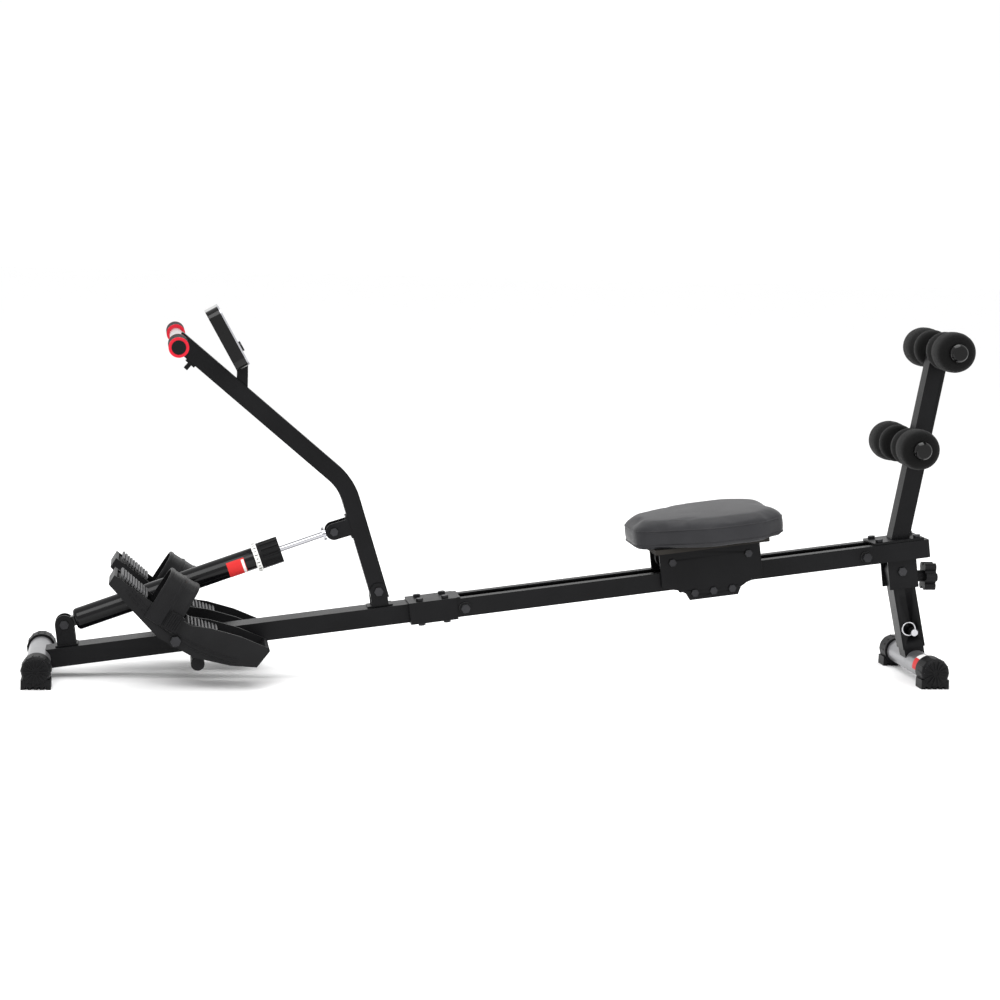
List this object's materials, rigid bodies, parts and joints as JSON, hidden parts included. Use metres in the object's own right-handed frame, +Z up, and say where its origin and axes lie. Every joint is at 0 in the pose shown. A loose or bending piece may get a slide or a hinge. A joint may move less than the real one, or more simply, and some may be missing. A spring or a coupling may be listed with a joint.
{
  "type": "rowing machine",
  "caption": "Home rowing machine: sloping beam and seat rail, rolling padded seat, hydraulic row arm with handlebar, strapped pedals, folding rear leg and foam roller upright.",
  "frame": {"origin": "on the floor, under the middle of the machine's length and width", "axes": "+X to the rear (roller upright), +Y across, +Z up"},
  "size_m": [1.7676, 0.606, 0.6947],
  "materials": {
    "black_paint": "satin black powder coat",
    "grey_paint": "satin dark silver paint",
    "cylinder_paint": "gloss black paint",
    "chrome_rod": "polished",
    "black_zinc": "black zinc",
    "bright_zinc": "bright zinc",
    "cap_plastic": "moulded satin",
    "gloss_cap": "high gloss",
    "pedal_plastic": "moulded satin",
    "strap_web": "soft satin",
    "seat_vinyl": "grained vinyl",
    "plywood": "black stained",
    "foam": "fine closed-cell foam",
    "grip_rubber": "fine textured",
    "red_trim": "satin red",
    "dial_white": "satin",
    "silver_trim": "satin silver",
    "lens_dark": "clear over dark"
  },
  "bodies": {
    "frame": {"front_beam": "black_paint", "front_stabiliser": "grey_paint", "front_stabiliser_caps": "cap_plastic", "beam_brackets": "black_paint", "pivot_bolts": "black_zinc", "pedal_axle": "black_zinc", "pedal_rest_bar": "black_paint", "pedal_rest_sleeves": "cap_plastic", "joint_sleeve": "black_paint", "frame_bolts": "black_zinc", "seat_rail": "black_paint", "rail_stop_bumpers": "strap_web", "rail_end_cap": "cap_plastic", "roller_upright": "black_paint", "roller_bars": "chrome_rod", "roller_end_caps": "gloss_cap", "leg_bracket": "black_paint"},
    "arm": {"row_arm": "black_paint", "arm_bush": "cap_plastic", "arm_brackets": "black_paint", "clevis_bolt": "black_zinc", "handlebar_tube": "chrome_rod", "grips": "grip_rubber", "grip_rings": "red_trim", "console_shell": "gloss_cap", "console_bezel": "silver_trim", "console_lens": "lens_dark"},
    "button": {"console_button": "gloss_cap"},
    "cylinder": {"cylinder_tube": "cylinder_paint", "cylinder_eye": "cylinder_paint"},
    "rod": {"piston_rod": "chrome_rod", "rod_eye": "chrome_rod"},
    "dial": {"dial_ring": "dial_white", "resistance_knob": "cap_plastic"},
    "carriage": {"carriage_frame": "black_paint", "carriage_bolts": "black_zinc", "seat_board": "plywood", "seat_cushion": "seat_vinyl"},
    "right_pedal_body": {"right_pedal": "pedal_plastic", "right_strap": "strap_web", "right_buckle": "cap_plastic"},
    "left_pedal_body": {"left_pedal": "pedal_plastic", "left_strap": "strap_web", "left_buckle": "cap_plastic"},
    "rear_leg": {"outer_leg": "black_paint"},
    "leg_foot": {"inner_leg": "black_paint", "rear_stabiliser": "grey_paint", "rear_stabiliser_caps": "cap_plastic"},
    "pin": {"pull_pin": "bright_zinc"},
    "lock_knob": {"star_knob": "cap_plastic"},
    "upper_roller_1_body": {"upper_roller_1": "cap_plastic"},
    "upper_roller_2_body": {"upper_roller_2": "cap_plastic"},
    "lower_roller_1_body": {"lower_roller_1": "cap_plastic"},
    "lower_roller_2_body": {"lower_roller_2": "cap_plastic"},
    "lower_roller_3_body": {"lower_roller_3": "cap_plastic"},
    "upper_left_foam_body": {"upper_left_foam": "foam"},
    "upper_right_foam_body": {"upper_right_foam": "foam"},
    "lower_left_foam_body": {"lower_left_foam": "foam"},
    "lower_right_foam_body": {"lower_right_foam": "foam"}
  },
  "joints": [
    {"name": "arm_swing", "type": "hinge", "parent": "frame", "child": "arm", "pos_m": [-0.22853, 0, 0.16391], "axis": [0, 1, 0], "range_deg": [0, 58]},
    {"name": "console_button_press", "type": "slide", "parent": "arm", "child": "button", "axis": [-0.8721, 0, -0.4894], "range_m": [0, 0.0015], "stiffness_N_per_m": 300},
    {"name": "cylinder_tilt", "type": "hinge", "parent": "frame", "child": "cylinder", "pos_m": [-0.8107, 0, 0.09796], "axis": [0, 1, 0], "range_deg": [-5, 5]},
    {"name": "rod_slide", "type": "slide", "parent": "cylinder", "child": "rod", "axis": [0.9413, 0, 0.3376], "range_m": [0, 0.16]},
    {"name": "resistance_turn", "type": "hinge", "parent": "cylinder", "child": "dial", "pos_m": [-0.8107, 0, 0.09796], "axis": [0.9413, 0, 0.3376], "range_deg": [-165, 165]},
    {"name": "seat_slide", "type": "slide", "parent": "frame", "child": "carriage", "axis": [0.9914, 0, 0.1305], "range_m": [-0.365, 0.198]},
    {"name": "right_pedal_pivot", "type": "hinge", "parent": "frame", "child": "right_pedal_body", "pos_m": [-0.60775, 0.11, 0.09401], "axis": [0, -1, 0], "range_deg": [0, 45]},
    {"name": "left_pedal_pivot", "type": "hinge", "parent": "frame", "child": "left_pedal_body", "pos_m": [-0.60775, -0.11, 0.09401], "axis": [0, -1, 0], "range_deg": [0, 45]},
    {"name": "leg_fold", "type": "hinge", "parent": "frame", "child": "rear_leg", "pos_m": [0.78415, 0, 0.20898], "axis": [0, 1, 0], "range_deg": [0, 82]},
    {"name": "leg_extend", "type": "slide", "parent": "rear_leg", "child": "leg_foot", "axis": [0.2113, 0, -0.9774], "range_m": [0, 0.06]},
    {"name": "pin_pull", "type": "slide", "parent": "rear_leg", "child": "pin", "axis": [0, -1, 0], "range_m": [0, 0.01], "stiffness_N_per_m": 200},
    {"name": "star_knob_turn", "type": "hinge", "parent": "frame", "child": "lock_knob", "pos_m": [0.78415, 0, 0.19698], "axis": [1, 0, 0], "range_deg": [-360, 360]},
    {"name": "upper_roller_1_spin", "type": "hinge", "parent": "carriage", "child": "upper_roller_1_body", "pos_m": [0.3263, 0, 0.22606], "axis": [0, 1, 0], "range_deg": [-3000, 3000]},
    {"name": "upper_roller_2_spin", "type": "hinge", "parent": "carriage", "child": "upper_roller_2_body", "pos_m": [0.47304, 0, 0.24538], "axis": [0, 1, 0], "range_deg": [-3000, 3000]},
    {"name": "lower_roller_1_spin", "type": "hinge", "parent": "carriage", "child": "lower_roller_1_body", "pos_m": [0.3717, 0, 0.1685], "axis": [0, 1, 0], "range_deg": [-3000, 3000]},
    {"name": "lower_roller_2_spin", "type": "hinge", "parent": "carriage", "child": "lower_roller_2_body", "pos_m": [0.40789, 0, 0.17326], "axis": [0, 1, 0], "range_deg": [-3000, 3000]},
    {"name": "lower_roller_3_spin", "type": "hinge", "parent": "carriage", "child": "lower_roller_3_body", "pos_m": [0.44408, 0, 0.17802], "axis": [0, 1, 0], "range_deg": [-3000, 3000]},
    {"name": "upper_left_foam_spin", "type": "hinge", "parent": "frame", "child": "upper_left_foam_body", "pos_m": [0.84525, -0.072, 0.637], "axis": [0, 1, 0], "continuous": true},
    {"name": "upper_right_foam_spin", "type": "hinge", "parent": "frame", "child": "upper_right_foam_body", "pos_m": [0.84525, 0.072, 0.637], "axis": [0, 1, 0], "continuous": true},
    {"name": "lower_left_foam_spin", "type": "hinge", "parent": "frame", "child": "lower_left_foam_body", "pos_m": [0.78375, -0.072, 0.452], "axis": [0, 1, 0], "continuous": true},
    {"name": "lower_right_foam_spin", "type": "hinge", "parent": "frame", "child": "lower_right_foam_body", "pos_m": [0.78375, 0.072, 0.452], "axis": [0, 1, 0], "continuous": true}
  ],
  "couplings": [
    {"joint": "rod_slide", "follows": "arm_swing", "m_per_rad": 0.136},
    {"joint": "cylinder_tilt", "follows": "arm_swing", "ratio": 0.023},
    {"joint": "upper_roller_1_spin", "follows": "seat_slide", "rad_per_m": 54.054},
    {"joint": "upper_roller_2_spin", "follows": "seat_slide", "rad_per_m": 54.054},
    {"joint": "lower_roller_1_spin", "follows": "seat_slide", "rad_per_m": -105.26},
    {"joint": "lower_roller_2_spin", "follows": "seat_slide", "rad_per_m": -105.26},
    {"joint": "lower_roller_3_spin", "follows": "seat_slide", "rad_per_m": -105.26}
  ]
}
